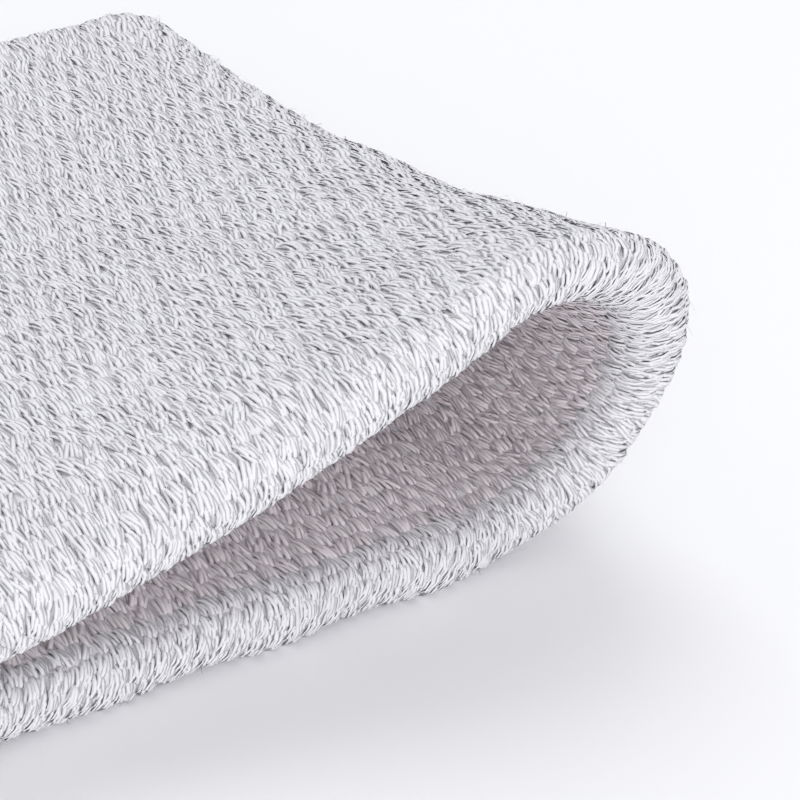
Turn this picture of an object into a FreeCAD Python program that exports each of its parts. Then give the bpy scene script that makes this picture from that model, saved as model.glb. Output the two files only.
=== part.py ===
import FreeCAD, Part
import math
import os

from FreeCAD import Matrix, Vector

# A sweat wristband: one knitted terry tube turned in on itself, so the wall is two layers of
# cloth, with a rolled fold at each rim. It lies on its flat side, +Y along the tube, the open
# side fold at +X and the closed side fold at -X. All sizes are in millimetres.

# Driving sizes
band_length = 76.0          # rim to rim, along the tube
front_width = 80.0          # flattened width at the front rim
middle_width = 84.0         # half way along
back_width = 86.0           # at the back rim
front_gap = 20.4            # free height inside the open side fold, at the front rim
middle_gap = 9.0            # half way along
back_gap = 7.0              # at the back rim
closed_gap = 0.8            # free height inside the closed side fold
front_sag_radius = 94.0     # hollow of the upper face across the front
back_sag_radius = 1500.0    # hollow of the upper face across the back
front_skew = 5.0            # how far the front rim runs out of square, across the width
front_lean = 0.31           # how far the front rim leans forward for each millimetre of height
cloth_thickness = 2.35      # one layer of terry
yarn_width = 0.8            # covered elastic yarn, along the tube
yarn_thickness = 0.5        # covered elastic yarn, through the wall
yarn_clearance = 0.3        # between a yarn and the cloth on each side of it
yarn_spacing = 3.6          # from one elastic yarn to the next in the same layer
seam_width = 3.0            # overlocked join of the tube's two raw ends
seam_from_back = 20.0       # from the back rim to the middle of the join
seam_clearance = 0.6        # between the join and the nearest elastic yarn
roll_end_angle = 84.0       # where the rounded rim is closed by its narrow edge, in degrees

# Derived sizes
layer_gap = yarn_thickness + 2 * yarn_clearance
wall_thickness = 2 * cloth_thickness + layer_gap
roll_radius = wall_thickness / 2
closed_height = 2 * wall_thickness + closed_gap
left_edge = -max(front_width, middle_width, back_width) / 2
front_line = -band_length / 2 + roll_radius
back_line = band_length / 2 - roll_radius
wall_stations = [station / 8 for station in range(9)]
roll_steps = 6


def through(front, middle, back, along):
    """A smooth value along the tube that is front, middle and back at 0, 0.5 and 1."""
    return (front * (1 - along) * (1 - 2 * along)
            + middle * 4 * along * (1 - along)
            + back * along * (2 * along - 1))


def arc_about(centre, radius, start, end):
    """An arc in the XZ plane from one angle to another, anticlockwise or clockwise."""
    points = []
    for angle in (start, (start + end) / 2, end):
        x = centre[0] + radius * math.cos(angle)
        z = centre[1] + radius * math.sin(angle)
        points.append(Vector(x, 0, z))
    return Part.Arc(*points).toShape()


def section(along, inset, y):
    """The closed outline across the tube, inset from the outer face, as one wire.

    A flat underside, a large round open fold, a hollow upper face and a small closed fold."""
    width = through(front_width, middle_width, back_width, along)
    open_radius = wall_thickness + through(front_gap, middle_gap, back_gap, along) / 2
    closed_radius = closed_height / 2
    sag = front_sag_radius + (back_sag_radius - front_sag_radius) * along
    closed = (left_edge + closed_radius, closed_radius)
    opened = (left_edge + width - open_radius, open_radius)

    # The hollow's centre touches both folds from above
    across = math.hypot(opened[0] - closed[0], opened[1] - closed[1])
    reach_closed = closed_radius + sag
    reach_open = open_radius + sag
    foot = (reach_closed ** 2 - reach_open ** 2 + across ** 2) / (2 * across)
    rise = math.sqrt(reach_closed ** 2 - foot ** 2)
    direction = ((opened[0] - closed[0]) / across, (opened[1] - closed[1]) / across)
    hollow = (closed[0] + direction[0] * foot - direction[1] * rise,
              closed[1] + direction[1] * foot + direction[0] * rise)
    open_angle = math.atan2(hollow[1] - opened[1], hollow[0] - opened[0])
    closed_angle = math.atan2(hollow[1] - closed[1], hollow[0] - closed[0])

    underside = Part.LineSegment(Vector(closed[0], 0, inset), Vector(opened[0], 0, inset)).toShape()
    edges = [
        underside,
        arc_about(opened, open_radius - inset, -math.pi / 2, open_angle),
        arc_about(hollow, sag + inset, open_angle - math.pi, closed_angle - math.pi),
        arc_about(closed, closed_radius - inset, closed_angle, 1.5 * math.pi),
    ]
    wire = Part.Wire(edges)

    # The front rim runs out of square and leans forward; this dies away towards the back
    shear = Matrix()
    shear.A21 = front_skew / front_width * (1 - along)
    shear.A23 = -front_lean * (1 - along)
    shear.A24 = y
    return wire.transformGeometry(shear)


def wall_place(along):
    return front_line + (back_line - front_line) * along


def flatten_underside(core, height):
    """The same solid with its flat underside as a true plane, for the band to rest on."""
    resting_plane = Part.Plane(Vector(0, 0, height), Vector(0, 0, -1))
    faces = []
    for face in core.Faces:
        lies_flat = face.BoundBox.ZLength < 1e-6
        faces.append(Part.Face(resting_plane, face.OuterWire) if lies_flat else face)
    return Part.makeSolid(Part.makeShell(faces))


def wall_core(inset):
    """Everything inside the wall's outline at this inset, from one rim line to the other."""
    wires = [section(along, inset, wall_place(along)) for along in wall_stations]
    return flatten_underside(Part.makeLoft(wires, True, False), inset)


def wall_layer(outer_inset, inner_inset):
    return wall_core(outer_inset).cut(wall_core(inner_inset))


def rim_core(along, way, side):
    """Everything inside a rolled rim's outer (side 1) or inner (side -1) face."""
    wires = []
    for step in range(roll_steps):
        angle = math.radians(roll_end_angle) * step / (roll_steps - 1)
        inset = roll_radius - side * roll_radius * math.cos(angle)
        y = wall_place(along) + way * roll_radius * math.sin(angle)
        wires.append(section(along, inset, y))
    return Part.makeLoft(wires, True, False)


def rim_fold(along, way):
    return rim_core(along, way, 1).cut(rim_core(along, way, -1))


def ring(y, outer_inset, inner_inset, width):
    """A flat ring laid round between the layers, centred on y, following the wall's taper."""
    cores = []
    for inset in (outer_inset, inner_inset):
        wires = []
        for edge in (y - width / 2, y + width / 2):
            along = (edge - front_line) / (back_line - front_line)
            wires.append(section(along, inset, edge))
        cores.append(Part.makeLoft(wires, True, False))
    return cores[0].cut(cores[1])


def yarn_places():
    """Places along the tube for every elastic yarn, the two layers' yarns taking turns."""
    pitch = yarn_spacing / 2
    first = front_line + pitch
    last = back_line - pitch
    count = int((last - first) / pitch + 1e-6) + 1
    return [first + pitch * number for number in range(count)]


def yarn_rings(layer):
    """The elastic yarns of one layer, 0 for the outer and 1 for the lining, clear of the join."""
    outer_inset = cloth_thickness + yarn_clearance
    inner_inset = outer_inset + yarn_thickness
    keep_out = seam_width / 2 + yarn_width / 2 + seam_clearance
    rings = []
    for number, y in enumerate(yarn_places()):
        if number % 2 == layer and abs(y - seam_place) > keep_out:
            rings.append(ring(y, outer_inset, inner_inset, yarn_width))
    return Part.makeCompound(rings)


seam_place = band_length / 2 - seam_from_back
seam_outer_inset = cloth_thickness + yarn_clearance
seam_inner_inset = seam_outer_inset + yarn_thickness

nodes = {
    "outer_terry_wall": wall_layer(0.0, cloth_thickness),
    "lining_terry_wall": wall_layer(cloth_thickness + layer_gap, wall_thickness),
    "front_rim_fold": rim_fold(0.0, -1),
    "back_rim_fold": rim_fold(1.0, 1),
    "outer_elastic_yarns": yarn_rings(0),
    "lining_elastic_yarns": yarn_rings(1),
    "joining_seam": ring(seam_place, seam_outer_inset, seam_inner_inset, seam_width),
}

# The origin is the middle of the space that the band takes up, on the surface it lies on
whole = Part.makeCompound(list(nodes.values())).optimalBoundingBox(False)
to_origin = Vector(-(whole.XMin + whole.XMax) / 2, -(whole.YMin + whole.YMax) / 2, -whole.ZMin)

os.makedirs("parts", exist_ok=True)
for name, shape in nodes.items():
    shape.translate(to_origin)
    shape.exportStep(f"parts/{name}.step")
    print(name, shape.isValid(), len(shape.Solids), round(shape.Volume, 1))
print("moved by", to_origin)
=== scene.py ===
import math

import bpy
import numpy as np
from mathutils import Matrix, Vector


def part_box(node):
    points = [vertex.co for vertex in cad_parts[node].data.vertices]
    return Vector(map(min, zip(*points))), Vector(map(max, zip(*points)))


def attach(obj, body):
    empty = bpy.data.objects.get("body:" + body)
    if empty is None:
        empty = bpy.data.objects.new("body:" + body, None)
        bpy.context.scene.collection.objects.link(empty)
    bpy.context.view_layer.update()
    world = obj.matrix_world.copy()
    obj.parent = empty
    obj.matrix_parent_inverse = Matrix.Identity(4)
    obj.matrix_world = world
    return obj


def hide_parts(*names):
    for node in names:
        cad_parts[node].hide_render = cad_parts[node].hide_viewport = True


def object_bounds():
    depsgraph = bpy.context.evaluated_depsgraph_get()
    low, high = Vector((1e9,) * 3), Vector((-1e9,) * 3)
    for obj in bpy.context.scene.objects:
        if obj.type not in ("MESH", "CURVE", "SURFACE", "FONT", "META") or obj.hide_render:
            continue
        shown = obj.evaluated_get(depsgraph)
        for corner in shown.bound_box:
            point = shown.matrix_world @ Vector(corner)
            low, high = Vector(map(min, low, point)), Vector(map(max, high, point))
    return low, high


# A sweat wristband: pile loops on a knitted ground cloth that is one tube turned in on itself,
# with elastic and the tube's join inside the wall, laid on the frame's own shape.

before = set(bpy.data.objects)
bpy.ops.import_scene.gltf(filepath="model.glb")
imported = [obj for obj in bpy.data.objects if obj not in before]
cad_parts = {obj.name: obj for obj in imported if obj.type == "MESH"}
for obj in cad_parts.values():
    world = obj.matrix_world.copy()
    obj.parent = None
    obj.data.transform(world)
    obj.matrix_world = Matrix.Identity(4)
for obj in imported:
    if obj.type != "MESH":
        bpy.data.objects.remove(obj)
cad_low, cad_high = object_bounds()

MM = 0.001

# Sizes that the frame gives
front_low, front_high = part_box("front_rim_fold")
back_low, back_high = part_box("back_rim_fold")
left_edge = back_low.x
front_width = front_high.x - front_low.x
back_width = back_high.x - back_low.x
front_height = front_high.z
back_height = back_high.z

# Sizes of the laid-flat band that repeat the design's own values
band_length = 76.0 * MM
middle_width = 84.0 * MM
middle_height = 20.6 * MM
closed_height = 12.4 * MM
wall_thickness = 5.8 * MM
front_sag_radius = 94.0 * MM
back_sag_radius = 1500.0 * MM
front_skew = 5.0 * MM
front_lean = 0.31
yarn_width = 0.8 * MM
yarn_thickness = 0.5 * MM
yarn_spacing = 3.6 * MM
seam_width = 3.0 * MM
seam_from_back = 20.0 * MM
seam_clearance = 0.6 * MM

# The knit: columns run along the tube, rows run round it, and each row is half a column over
columns = 96
wall_rows = 40
roll_rows = 5
all_rows = 2 * (wall_rows + roll_rows)
column_pitch = 1.776 * MM
strand_radius = 0.23 * MM       # drawn much coarser than the yarn's real filaments, so that it shows
strand_spacing = 0.21 * MM
loop_span = 2.5 * MM            # foot to foot
loop_height = 0.58 * MM
loop_turn = math.radians(9)     # how far a loop lies off its column
loop_lean = 0.2                 # how far a loop's top leans towards the front, per height
ground_depth = 0.28 * MM        # how far the ground cloth lies inside the wall's outer face
flatness = 0.2                  # a strand's depth for its width
fluff_radius = 0.018 * MM
fluff_height = 1.0 * MM
fluff_foot_depth = 0.2 * MM
loose_fibre_count = 2400
cloth_merge_gap = 0.01 * MM     # points closer than this are one point
ring_merge_gap = 0.005 * MM
stretches = 5                   # each wall's pile is made in this many pieces, to keep them small
press = 0.08 * MM               # how softly the underside meets the surface below
foot_depth = 0.27 * MM          # how far a loop's feet sink into the ground cloth
ground_thickness = 0.9 * MM
ground_rib = 0.08 * MM          # how far each column of the ground cloth stands up

# How much the loops and strands differ from each other
loop_scatter = 0.07 * MM        # a loop's place on the cloth
loop_size_spread = 0.06         # a loop's span and height, as a share
loop_turn_spread = math.radians(6)
strand_scatter = 0.05 * MM      # a strand's place across its loop
strand_slip = 0.22 * MM         # a strand's place along its loop
strand_height_spread = 0.05
strand_turn_spread = math.radians(8)
strand_fall = 0.25              # how much lower a loop's outer strands are, as a share
pattern_shift = 60.0            # sends each strand to its own part of the filament pattern

# Places along the tube
roll_radius = wall_thickness / 2
back_line = back_high.y - roll_radius
front_line = back_line - band_length + 2 * roll_radius
wall_run = back_line - front_line
row_pitch = wall_run / wall_rows
mat_width = columns * column_pitch
ground_reach = roll_radius - ground_depth

profile_steps = 200             # points on each stretch of the section across the tube

rng = np.random.default_rng(7)


# ---------------------------------------------------------------- the band's shape

def through(front, middle, back, along):
    """A smooth value along the tube that is front, middle and back at 0, 0.5 and 1."""
    return (front * (1 - along) * (1 - 2 * along)
            + middle * 4 * along * (1 - along)
            + back * along * (2 * along - 1))


def outline(along, count):
    """The wall's middle line across the tube, as evenly spaced points and outward normals."""
    width = through(front_width, middle_width, back_width, along)
    open_radius = through(front_height, middle_height, back_height, along) / 2
    closed_radius = closed_height / 2
    sag = front_sag_radius + (back_sag_radius - front_sag_radius) * along
    closed = np.array([left_edge + closed_radius, closed_radius])
    opened = np.array([left_edge + width - open_radius, open_radius])
    span = opened - closed
    across = np.hypot(*span)
    direction = span / across
    foot = ((closed_radius + sag) ** 2 - (open_radius + sag) ** 2 + across ** 2) / (2 * across)
    rise = math.sqrt((closed_radius + sag) ** 2 - foot ** 2)
    hollow = closed + direction * foot + np.array([-direction[1], direction[0]]) * rise
    open_angle = math.atan2(hollow[1] - opened[1], hollow[0] - opened[0])
    closed_angle = math.atan2(hollow[1] - closed[1], hollow[0] - closed[0])

    def arc(centre, radius, start, end, outward):
        angles = np.linspace(start, end, profile_steps)
        ray = np.stack([np.cos(angles), np.sin(angles)], 1)
        return centre + radius * ray, outward * ray

    inset = roll_radius
    floor_x = np.linspace(closed[0], opened[0], profile_steps)
    floor_points = np.stack([floor_x, np.full(profile_steps, inset)], 1)
    floor_normals = np.tile([0.0, -1.0], (profile_steps, 1))
    stretches = [
        arc(closed, closed_radius - inset, math.pi, 1.5 * math.pi, 1),
        (floor_points, floor_normals),
        arc(opened, open_radius - inset, -math.pi / 2, open_angle, 1),
        arc(hollow, sag + inset, open_angle - math.pi, closed_angle - math.pi, -1),
        arc(closed, closed_radius - inset, closed_angle, math.pi, 1),
    ]
    points = np.concatenate([stretch[0] for stretch in stretches])
    normals = np.concatenate([stretch[1] for stretch in stretches])
    step = np.hypot(*np.diff(points, axis=0).T)
    length = np.concatenate([[0], np.cumsum(step)])
    even = np.linspace(0, length[-1], count + 1)
    places = [np.interp(even, length, points[:, axis]) for axis in (0, 1)]
    ways = [np.interp(even, length, normals[:, axis]) for axis in (0, 1)]
    return np.stack(places + ways, 1)


stations = 33
around_steps = 480
shape_table = np.array([outline(i / (stations - 1), around_steps) for i in range(stations)])


def read_shape(around, along):
    """Middle line point and normal for shares round and along the tube, read between entries."""
    column = (around % 1.0) * around_steps
    left = np.floor(column).astype(int) % around_steps
    right_share = (column - np.floor(column))[:, None]
    station = np.clip(along, 0, 1) * (stations - 1)
    near = np.minimum(station.astype(int), stations - 2)
    far_share = (station - near)[:, None]
    near_row = shape_table[near, left] * (1 - right_share) + shape_table[near, left + 1] * right_share
    far_row = shape_table[near + 1, left] * (1 - right_share)
    far_row += shape_table[near + 1, left + 1] * right_share
    return near_row * (1 - far_share) + far_row * far_share


def put(around, along, reach, y):
    """The place at this reach from the wall's middle line, with the front rim's skew and lean."""
    row = read_shape(around, along)
    x = row[:, 0] + row[:, 2] * reach
    z = row[:, 1] + row[:, 3] * reach
    fade = 1 - np.clip(along, 0, 1)
    y = y + fade * (front_skew * x / front_width - front_lean * z)
    # The underside is pressed flat on what it lies on, with a soft start
    pressed = press * np.logaddexp(0, z / press)
    return np.stack([x, y, pressed], 1)


# Slow unevenness of hand-stretched cloth: long waves added together, the same on every run
wave_count = 26
wave_size = 0.18 * MM
wave_around = rng.integers(1, 15, wave_count)
wave_along = rng.integers(-9, 10, wave_count)
wave_phase = rng.uniform(0, 2 * math.pi, wave_count)
wave_height = wave_size / math.sqrt(wave_count)


def unevenness(around, row):
    total = np.zeros(len(around))
    for turns, laps, phase in zip(wave_around, wave_along, wave_phase):
        total += np.sin(2 * math.pi * (turns * around + laps * row / all_rows) + phase)
    return wave_height * total


def wrap(flat):
    """Flat cloth (x round the tube, y along it, z above the ground) turned in on itself."""
    around = flat[:, 0] / mat_width
    row = (flat[:, 1] / row_pitch) % all_rows
    reach = ground_reach + flat[:, 2] + unevenness(around, row)
    back_roll = wall_rows + roll_rows
    lining_end = back_roll + wall_rows
    turn = np.select(
        [row < wall_rows, row < back_roll, row < lining_end],
        [0.0, (row - wall_rows) / roll_rows, 1.0],
        1.0 + (row - lining_end) / roll_rows) * math.pi
    along = np.select(
        [row < wall_rows, row < back_roll, row < lining_end],
        [row / wall_rows, 1.0, 1 - (row - back_roll) / wall_rows], 0.0)
    y = front_line + wall_run * along + reach * np.sin(turn)
    return put(around, along, reach * np.cos(turn), y)


# ---------------------------------------------------------------- small mesh helpers

def deselect():
    if bpy.context.object and bpy.context.object.mode != "OBJECT":
        bpy.ops.object.mode_set(mode="OBJECT")
    bpy.ops.object.select_all(action="DESELECT")


def get_points(piece):
    flat = np.empty(len(piece.data.vertices) * 3, np.float32)
    piece.data.vertices.foreach_get("co", flat)
    return flat.reshape(-1, 3).astype(float)


def set_points(piece, points):
    piece.data.vertices.foreach_set("co", points.astype(np.float32).ravel())
    piece.data.update()


def write_attribute(piece, name, kind, values):
    attribute = piece.data.attributes.new(name, kind, "POINT")
    field = "vector" if kind == "FLOAT_VECTOR" else "value"
    attribute.data.foreach_set(field, values.astype(np.float32).ravel())


def apply_modifiers(piece):
    deselect()
    bpy.context.view_layer.objects.active = piece
    piece.select_set(True)
    for modifier in list(piece.modifiers):
        bpy.ops.object.modifier_apply(modifier=modifier.name)


def smooth(piece):
    deselect()
    bpy.context.view_layer.objects.active = piece
    piece.select_set(True)
    bpy.ops.object.shade_smooth()


def finish_piece(piece, material, nodes):
    smooth(piece)
    piece.data.materials.clear()
    piece.data.materials.append(material)
    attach(piece, "root")
    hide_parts(*nodes)


# ---------------------------------------------------------------- materials

def colour(hex_code):
    """An sRGB hex colour as the linear values that the shader works in."""
    channels = [int(hex_code[i:i + 2], 16) / 255 for i in (1, 3, 5)]
    linear = [c / 12.92 if c <= 0.04045 else ((c + 0.055) / 1.055) ** 2.4 for c in channels]
    return (*linear, 1.0)


def add_node(tree, kind, settings=None, values=None, links=None):
    """Adds a node, sets its properties and socket values, and links its inputs."""
    node = tree.nodes.new(kind)
    for name, value in (settings or {}).items():
        setattr(node, name, value)
    for socket, value in (values or {}).items():
        node.inputs[socket].default_value = value
    for socket, source in (links or {}).items():
        tree.links.new(source, node.inputs[socket])
    return node


def new_material(name):
    material = bpy.data.materials.new(name)
    material.use_nodes = True
    tree = material.node_tree
    tree.nodes.clear()
    shader = add_node(tree, "ShaderNodeBsdfPrincipled")
    add_node(tree, "ShaderNodeOutputMaterial", links={"Surface": shader.outputs["BSDF"]})
    return material, tree, shader


def pile_yarn(name, light, shade, depth):
    """Bleached cotton terry yarn, soft spun: matt, with loose filaments lying along each loop
    whose fine pale lines of caught light are painted highlights in the colour, over a bump,
    and a slow change of tone every few loops."""
    tint_patches = 180.0    # in a metre, so each is about 5.6 mm across
    material, tree, shader = new_material(name)
    fibre = add_node(tree, "ShaderNodeAttribute", {"attribute_name": "fibre"})
    streak = add_node(tree, "ShaderNodeMapping", values={"Scale": (3.4, 0.8, 1.0)},
                      links={"Vector": fibre.outputs["Vector"]})
    filaments = add_node(tree, "ShaderNodeTexNoise",
                         values={"Scale": 1.6, "Detail": 3.0, "Roughness": 0.6},
                         links={"Vector": streak.outputs["Vector"]})
    tint = add_node(tree, "ShaderNodeTexNoise", values={"Scale": tint_patches, "Detail": 2.0},
                    links={"Vector": add_node(tree, "ShaderNodeTexCoord").outputs["Object"]})
    # The filament pattern lightens the colour along each filament: painted highlights, added to the
    # random tone patches
    painted_filament_highlight = add_node(tree, "ShaderNodeMath", {"operation": "MULTIPLY"}, {1: 0.75},
                     {0: filaments.outputs["Fac"]})
    tone_and_painted_highlight = add_node(tree, "ShaderNodeMath", {"operation": "MULTIPLY_ADD"}, {1: 0.4},
                    {0: tint.outputs["Fac"], 2: painted_filament_highlight.outputs[0]})
    ramp = add_node(tree, "ShaderNodeValToRGB", links={"Fac": tone_and_painted_highlight.outputs[0]})
    ramp.color_ramp.elements[0].position = 0.35
    ramp.color_ramp.elements[0].color = colour(shade)
    ramp.color_ramp.elements[1].position = 0.72
    ramp.color_ramp.elements[1].color = colour(light)
    bump = add_node(tree, "ShaderNodeBump", values={"Strength": depth, "Distance": 0.05 * MM},
                    links={"Height": filaments.outputs["Fac"]})
    tree.links.new(ramp.outputs["Color"], shader.inputs["Base Color"])
    tree.links.new(bump.outputs["Normal"], shader.inputs["Normal"])
    shader.inputs["Roughness"].default_value = 0.92
    shader.inputs["Specular IOR Level"].default_value = 0.15
    return material


def plain_fibre(name, light, shade, scale_mm, depth):
    """Spun fibre seen as cloth or cord: matt, mottled at the size of its strands."""
    material, tree, shader = new_material(name)
    place = add_node(tree, "ShaderNodeTexCoord")
    mottle = add_node(tree, "ShaderNodeTexNoise",
                      values={"Scale": 1 / (scale_mm * MM), "Detail": 3.0},
                      links={"Vector": place.outputs["Object"]})
    ramp = add_node(tree, "ShaderNodeValToRGB", links={"Fac": mottle.outputs["Fac"]})
    ramp.color_ramp.elements[0].position = 0.3
    ramp.color_ramp.elements[0].color = colour(shade)
    ramp.color_ramp.elements[1].position = 0.7
    ramp.color_ramp.elements[1].color = colour(light)
    bump = add_node(tree, "ShaderNodeBump", values={"Strength": depth, "Distance": 0.1 * MM},
                    links={"Height": mottle.outputs["Fac"]})
    tree.links.new(ramp.outputs["Color"], shader.inputs["Base Color"])
    tree.links.new(bump.outputs["Normal"], shader.inputs["Normal"])
    shader.inputs["Roughness"].default_value = 0.95
    shader.inputs["Specular IOR Level"].default_value = 0.15
    return material


# ---------------------------------------------------------------- the knitted loops

def model_strand(radius, height, steps):
    """One flat, three-sided strand of a pile loop: spun over in a half turn, closed at its
    feet, then pressed down to its height and leaned over."""
    deselect()
    bpy.ops.mesh.primitive_circle_add(vertices=3, radius=radius, rotation=(0, 0, math.pi),
                                      location=(0, -loop_span / 2, 0))
    strand = bpy.context.object
    bpy.ops.object.transform_apply(location=True, rotation=True)
    bpy.ops.object.mode_set(mode="EDIT")
    bpy.ops.mesh.select_all(action="SELECT")
    bpy.ops.transform.resize(value=(1, flatness, 1), center_override=(0, -loop_span / 2, 0))
    bpy.ops.mesh.spin(steps=steps, angle=math.pi, center=(0, 0, 0), axis=(1, 0, 0))
    bpy.ops.mesh.select_all(action="SELECT")
    bpy.ops.mesh.fill_holes(sides=0)
    bpy.ops.mesh.normals_make_consistent(inside=False)
    crown = loop_span / 2 + radius * flatness / 2
    bpy.ops.transform.resize(value=(1, 1, height / crown), center_override=(0, 0, 0))
    bpy.ops.object.mode_set(mode="OBJECT")

    points = get_points(strand)
    travel = 0.5 - points[:, 1] / loop_span
    spread = points[:, 0] / radius
    write_attribute(strand, "fibre", "FLOAT_VECTOR", np.stack([spread, travel, travel], 1))
    points[:, 1] -= loop_lean * points[:, 2]
    set_points(strand, points)
    return strand


def repeat(piece, *ways):
    """Copies a piece by one array after another, and applies them."""
    for count, offset in ways:
        copies = piece.modifiers.new("copies", "ARRAY")
        copies.use_relative_offset = False
        copies.use_constant_offset = True
        copies.constant_offset_displace = offset
        copies.count = count
    apply_modifiers(piece)


def lay_loops(name, first_row, rows, style):
    """Copies a strand into loops and the loops into a mat, half a column over in each row, and
    wraps the mat on the band. No two loops or strands are pulled up quite alike."""
    strands, radius, spacing, height, sunk, steps = style
    pile = model_strand(radius, height, steps)
    size = len(pile.data.vertices)
    repeat(pile, (strands, (spacing, 0, 0)), (columns, (column_pitch, 0, 0)),
           (rows, (column_pitch / 2, row_pitch, 0)))
    pile.name = name
    pile.data.name = name

    loops = columns * rows
    strand = np.repeat(np.arange(loops * strands), size)
    loop = strand // strands
    row, column = loop // columns, loop % columns
    start_x = column * column_pitch + row * column_pitch / 2
    start_y = row * row_pitch
    side = (strand % strands) - (strands - 1) / 2

    def vary(numbers, spread, middle=0.0):
        return rng.normal(middle, spread, numbers.max() + 1)[numbers]

    points = get_points(pile)
    half_loop = (strands - 1) / 2
    rounding = 1 - strand_fall * (side / max(1, half_loop)) ** 2
    x = points[:, 0] - start_x - half_loop * spacing + vary(strand, strand_scatter)
    y = (points[:, 1] - start_y) * vary(loop, loop_size_spread, 1.0)
    y += vary(strand, strand_slip)
    z = points[:, 2] * rounding * vary(loop, loop_size_spread, 1.0)
    z *= vary(strand, strand_height_spread, 1.0)
    twist = loop_turn + vary(loop, loop_turn_spread) + vary(strand, strand_turn_spread)
    flat_x = start_x + x * np.cos(twist) - y * np.sin(twist) + vary(loop, loop_scatter)
    flat_y = start_y + x * np.sin(twist) + y * np.cos(twist) + vary(loop, loop_scatter)
    flat_y += first_row * row_pitch
    flat_x += first_row * column_pitch / 2
    flat = np.stack([flat_x, flat_y, z - sunk], 1)
    set_points(pile, wrap(flat))

    # Each strand reads its own part of the filament pattern
    attribute = pile.data.attributes["fibre"]
    fibre = np.empty(len(points) * 3, np.float32)
    attribute.data.foreach_get("vector", fibre)
    fibre = fibre.reshape(-1, 3)
    fibre[:, 2] = vary(strand, pattern_shift)
    attribute.data.foreach_set("vector", fibre.ravel())
    return pile


# ---------------------------------------------------------------- the ground cloth

def lay_ground():
    """The knitted tube itself: one ribbed cloth turned in on itself, its ends and sides merged
    into one closed skin and then given its thickness inwards."""
    across_cells = 2 * columns
    along_cells = 2 * all_rows
    deselect()
    bpy.ops.mesh.primitive_grid_add(x_subdivisions=across_cells, y_subdivisions=along_cells,
                                    size=1, location=(0, 0, 0))
    cloth = bpy.context.object
    cloth.name = "terry_ground_cloth"
    points = get_points(cloth)
    points[:, 0] = (points[:, 0] + 0.5) * mat_width
    points[:, 1] = (points[:, 1] + 0.5) * all_rows * row_pitch
    rib = np.cos(2 * math.pi * points[:, 0] / column_pitch)
    points[:, 2] = ground_rib * rib
    set_points(cloth, wrap(points))
    deselect()
    bpy.context.view_layer.objects.active = cloth
    cloth.select_set(True)
    bpy.ops.object.mode_set(mode="EDIT")
    bpy.ops.mesh.select_all(action="SELECT")
    bpy.ops.mesh.remove_doubles(threshold=cloth_merge_gap)
    bpy.ops.mesh.normals_make_consistent(inside=False)
    bpy.ops.object.mode_set(mode="OBJECT")
    thicken = cloth.modifiers.new("thickness", "SOLIDIFY")
    thicken.thickness = ground_thickness
    thicken.offset = -1
    apply_modifiers(cloth)
    return cloth


# ---------------------------------------------------------------- elastic, join and fluff

def draw_out(sides, radius, lengths):
    """A straight tube as long as the band is round, drawn out of a circle in equal lengths."""
    deselect()
    bpy.ops.mesh.primitive_circle_add(vertices=sides, radius=radius,
                                      rotation=(0, math.pi / 2, 0))
    tube = bpy.context.object
    bpy.ops.object.transform_apply(rotation=True)
    step = mat_width / lengths
    bpy.ops.object.mode_set(mode="EDIT")
    bpy.ops.mesh.select_all(action="SELECT")
    bpy.ops.mesh.extrude_region_move(TRANSFORM_OT_translate={"value": (step, 0, 0)})
    bpy.ops.object.mode_set(mode="OBJECT")
    repeat(tube, (lengths, (step, 0, 0)))
    return tube, step


def lay_rings(name, places, half_width, half_height, sides, lengths, radius_wave):
    """Flat rings laid round between the two layers, each closed on itself."""
    ring, step = draw_out(sides, 1, lengths)
    size = len(ring.data.vertices)
    repeat(ring, (len(places), (0, 0, 0)))
    ring.name = name
    points = get_points(ring)
    number = np.arange(len(points)) // size
    part = np.rint(points[:, 0] / step)
    swell = 1 + radius_wave * np.cos(math.pi * part)
    y = np.array(places)[number] + points[:, 1] * half_width * swell
    along = (y - front_line) / wall_run
    set_points(ring, put(points[:, 0] / mat_width, along, points[:, 2] * half_height * swell, y))
    close_rings(ring)
    return ring


def lay_stitches(name, place, half_width, half_height, radius, turns):
    """One thread wound round and round a ring, as an overlock stitch goes over an edge."""
    lengths = 10 * turns
    thread, step = draw_out(4, radius, lengths)
    thread.name = name
    points = get_points(thread)
    angle = 2 * math.pi * turns * np.rint(points[:, 0] / step) / lengths
    out = 1 + points[:, 2] / half_height
    y = place + half_width * np.sin(angle) * (1 + points[:, 2] / half_width)
    x = points[:, 0] + points[:, 1]
    along = (y - front_line) / wall_run
    set_points(thread, put(x / mat_width, along, half_height * np.cos(angle) * out, y))
    close_rings(thread)
    return thread


def close_rings(piece):
    """Joins each ring's last length to its first and turns its faces outwards."""
    deselect()
    bpy.context.view_layer.objects.active = piece
    piece.select_set(True)
    bpy.ops.object.mode_set(mode="EDIT")
    bpy.ops.mesh.select_all(action="SELECT")
    bpy.ops.mesh.remove_doubles(threshold=ring_merge_gap)
    bpy.ops.mesh.normals_make_consistent(inside=False)
    bpy.ops.object.mode_set(mode="OBJECT")


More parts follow.
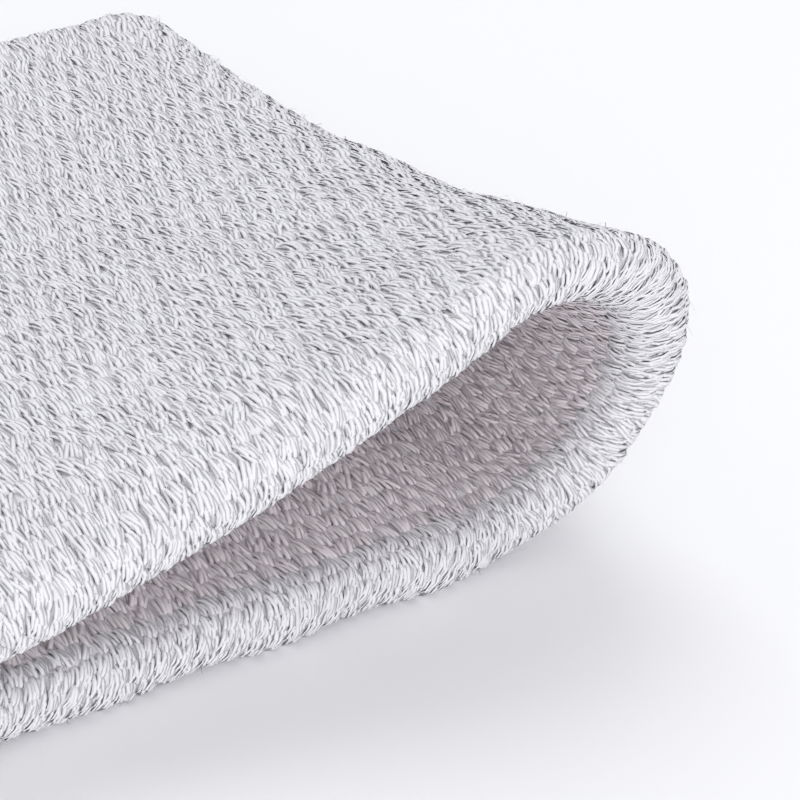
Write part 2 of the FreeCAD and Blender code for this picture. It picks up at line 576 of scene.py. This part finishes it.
def lay_fluff(name, count):
    """Single fibres that have worked loose from the pile of the outer face and the rims."""
    fluff = model_strand(fluff_radius, fluff_height, 5)
    size = len(fluff.data.vertices)
    repeat(fluff, (count, (0, 0, 0)))
    fluff.name = name
    number = np.arange(count * size) // size
    points = get_points(fluff)
    # Length and height are shares of a full strand's; turn is in radians
    length = rng.uniform(0.4, 1.1, count)[number]
    height = rng.uniform(0.5, 0.95, count)[number]
    turn = rng.normal(0, 0.7, count)[number]
    bow = rng.normal(0, 0.3, count)[number] * points[:, 2]
    x = points[:, 0] + bow
    y = points[:, 1] * length
    flat_x = rng.uniform(0, mat_width, count)[number] + x * np.cos(turn) - y * np.sin(turn)
    flat_y = rng.uniform(-roll_rows, wall_rows + roll_rows, count)[number] * row_pitch
    flat_y += x * np.sin(turn) + y * np.cos(turn)
    flat = np.stack([flat_x, flat_y, points[:, 2] * height - fluff_foot_depth], 1)
    set_points(fluff, wrap(flat))
    return fluff


def build_inside():
    """The covered elastic laid in with each layer, and the join of the tube's two raw ends."""
    # Rubber thread wound over with white yarn: matt, slightly knobbly along its length
    elastic = plain_fibre("white_covered_elastic", "#F1F0EE", "#DAD8D4", 0.25, 0.5)
    # Textured polyester sewing thread: matt and a little bulky
    thread = plain_fibre("white_overlock_thread", "#F4F3F1", "#DEDCD8", 0.2, 0.5)
    pitch = yarn_spacing / 2
    first = front_line + pitch
    count = int((wall_run - 2 * pitch) / pitch + 1e-6) + 1
    seam_place = back_high.y - seam_from_back
    keep_out = seam_width / 2 + yarn_width / 2 + seam_clearance
    nodes = ("outer_elastic_yarns", "lining_elastic_yarns")
    for layer, node in enumerate(nodes):
        places = [first + pitch * number for number in range(layer, count, 2)]
        places = [place for place in places if abs(place - seam_place) > keep_out]
        rings = lay_rings(node + "_covered", places, yarn_width / 2, yarn_thickness / 2,
                          sides=6, lengths=160, radius_wave=0.06)
        finish_piece(rings, elastic, [node])
    edge = lay_rings("overlocked_raw_ends", [seam_place], seam_width / 2, yarn_thickness / 2,
                     sides=12, lengths=192, radius_wave=0.04)
    finish_piece(edge, thread, ["joining_seam"])
    stitches = lay_stitches("overlock_stitches", seam_place, seam_width / 2,
                            0.7 * yarn_thickness, radius=0.11 * MM, turns=64)
    finish_piece(stitches, thread, ["joining_seam"])


def build_band():
    # Bleached and washed cotton loops, a cool white that stays matt from every side
    terry = pile_yarn("bleached_cotton_pile", "#F0F0F3", "#E7E6EA", 0.2)
    # The same cotton in lower loops, as if pressed by the wrist; its warmer tint is painted shade,
    # the colour of the shade inside the band
    pressed = pile_yarn("pressed_cotton_pile_shade_tinted", "#F5EFF2", "#ECE6E9", 0.2)
    # The plain knit that the loops stand on, seen only as soft shade between them
    ground_yarn = plain_fibre("cotton_ground_knit", "#F0EFF2", "#E6E5E9", 0.35, 0.3)

    ground = lay_ground()
    walls = ("outer_terry_wall", "lining_terry_wall", "front_rim_fold", "back_rim_fold")
    finish_piece(ground, ground_yarn, walls)

    # Strands in a loop, their radius and spacing, the loop's height and foot depth, and its bends
    full = (7, strand_radius, strand_spacing, loop_height, foot_depth, 5)
    low = (5, 1.3 * strand_radius, 1.35 * strand_spacing, 0.8 * loop_height, 0.75 * foot_depth, 4)
    back_roll = wall_rows + roll_rows
    lining_end = back_roll + wall_rows
    stretch_rows = wall_rows // stretches
    mats = [
        ("back_rim_pile", wall_rows, roll_rows, full, terry, "terry_rim", "back_rim_fold"),
        ("front_rim_pile", lining_end, roll_rows, full, terry, "terry_rim", "front_rim_fold"),
    ]
    for number in range(stretches):
        first_row = stretch_rows * number
        mats.append((f"outer_pile_{number + 1}", first_row, stretch_rows, full, terry,
                     "terry_outer", "outer_terry_wall"))
        mats.append((f"lining_pile_{number + 1}", back_roll + first_row, stretch_rows, low,
                     pressed, "terry_lining", "lining_terry_wall"))
    for name, first_row, rows, style, material, slot, node in mats:
        mat = lay_loops(name, first_row, rows, style)
        finish_piece(mat, material, [node])
    fluff = lay_fluff("loose_fibres", loose_fibre_count)
    finish_piece(fluff, terry, ["outer_terry_wall"])


# ---------------------------------------------------------------- camera, light and floor

def place_camera():
    """A long lens above the front left, looking down across the front rim at the open fold."""
    turn = math.radians(38.7)
    down = math.radians(27.435)
    tip = math.radians(5.346)
    distance = 228.7 * MM
    focal_length = 133.5
    from_open_side = 17.84 * MM
    behind_front_line = 13.33 * MM
    above_floor = 8.0 * MM
    aim = Vector((cad_high.x - from_open_side, front_line + behind_front_line, above_floor))
    forward = Vector((math.sin(turn) * math.cos(down), math.cos(turn) * math.cos(down),
                      -math.sin(down)))
    level = Vector((math.cos(turn), -math.sin(turn), 0))
    upright = level.cross(forward)
    right = level * math.cos(tip) + upright * math.sin(tip)
    up = upright * math.cos(tip) - level * math.sin(tip)
    camera_data = bpy.data.cameras.new("camera")
    camera_data.sensor_width = 36
    camera_data.lens = focal_length
    camera_data.clip_start = 0.01
    camera = bpy.data.objects.new("camera", camera_data)
    bpy.context.scene.collection.objects.link(camera)
    place = aim - forward * distance
    turned = Matrix((right, up, -forward)).transposed().to_4x4()
    camera.matrix_world = Matrix.Translation(place) @ turned
    bpy.context.scene.camera = camera


def add_softbox(name, place, aim, size, power, tint):
    light_data = bpy.data.lights.new(name, "AREA")
    light_data.shape = "SQUARE"
    light_data.size = size
    light_data.energy = power
    light_data.color = colour(tint)[:3]
    light = bpy.data.objects.new(name, light_data)
    bpy.context.scene.collection.objects.link(light)
    light.location = place
    light.rotation_mode = "QUATERNION"
    light.rotation_quaternion = (Vector(aim) - Vector(place)).to_track_quat("-Z", "Y")


def light_and_floor():
    bpy.ops.mesh.primitive_plane_add(size=6, location=(0, 0, 0))
    floor = bpy.context.object
    floor.name = "floor"
    material, tree, shader = new_material("matt_white_floor")
    shader.inputs["Base Color"].default_value = colour("#FBFBFC")
    shader.inputs["Roughness"].default_value = 0.9
    floor.data.materials.append(material)

    world = bpy.data.worlds.new("studio")
    bpy.context.scene.world = world
    world.use_nodes = True
    background = world.node_tree.nodes["Background"]
    background.inputs["Color"].default_value = colour("#F7F8FC")
    background.inputs["Strength"].default_value = 0.76
    middle = (0, 0, 0.01)
    add_softbox("overhead_softbox", (0.15, 0.3, 0.9), middle, size=0.6, power=2.2, tint="#FFFFFF")
    add_softbox("front_softbox", (-0.45, -0.75, 0.3), middle, size=0.6, power=3.4, tint="#FFFDFB")
    bpy.context.scene.view_settings.view_transform = "Standard"
    # Light has to bounce many times between white fibres before it dies away
    bpy.context.scene.cycles.diffuse_bounces = 10


place_camera()
build_band()
build_inside()
light_and_floor()
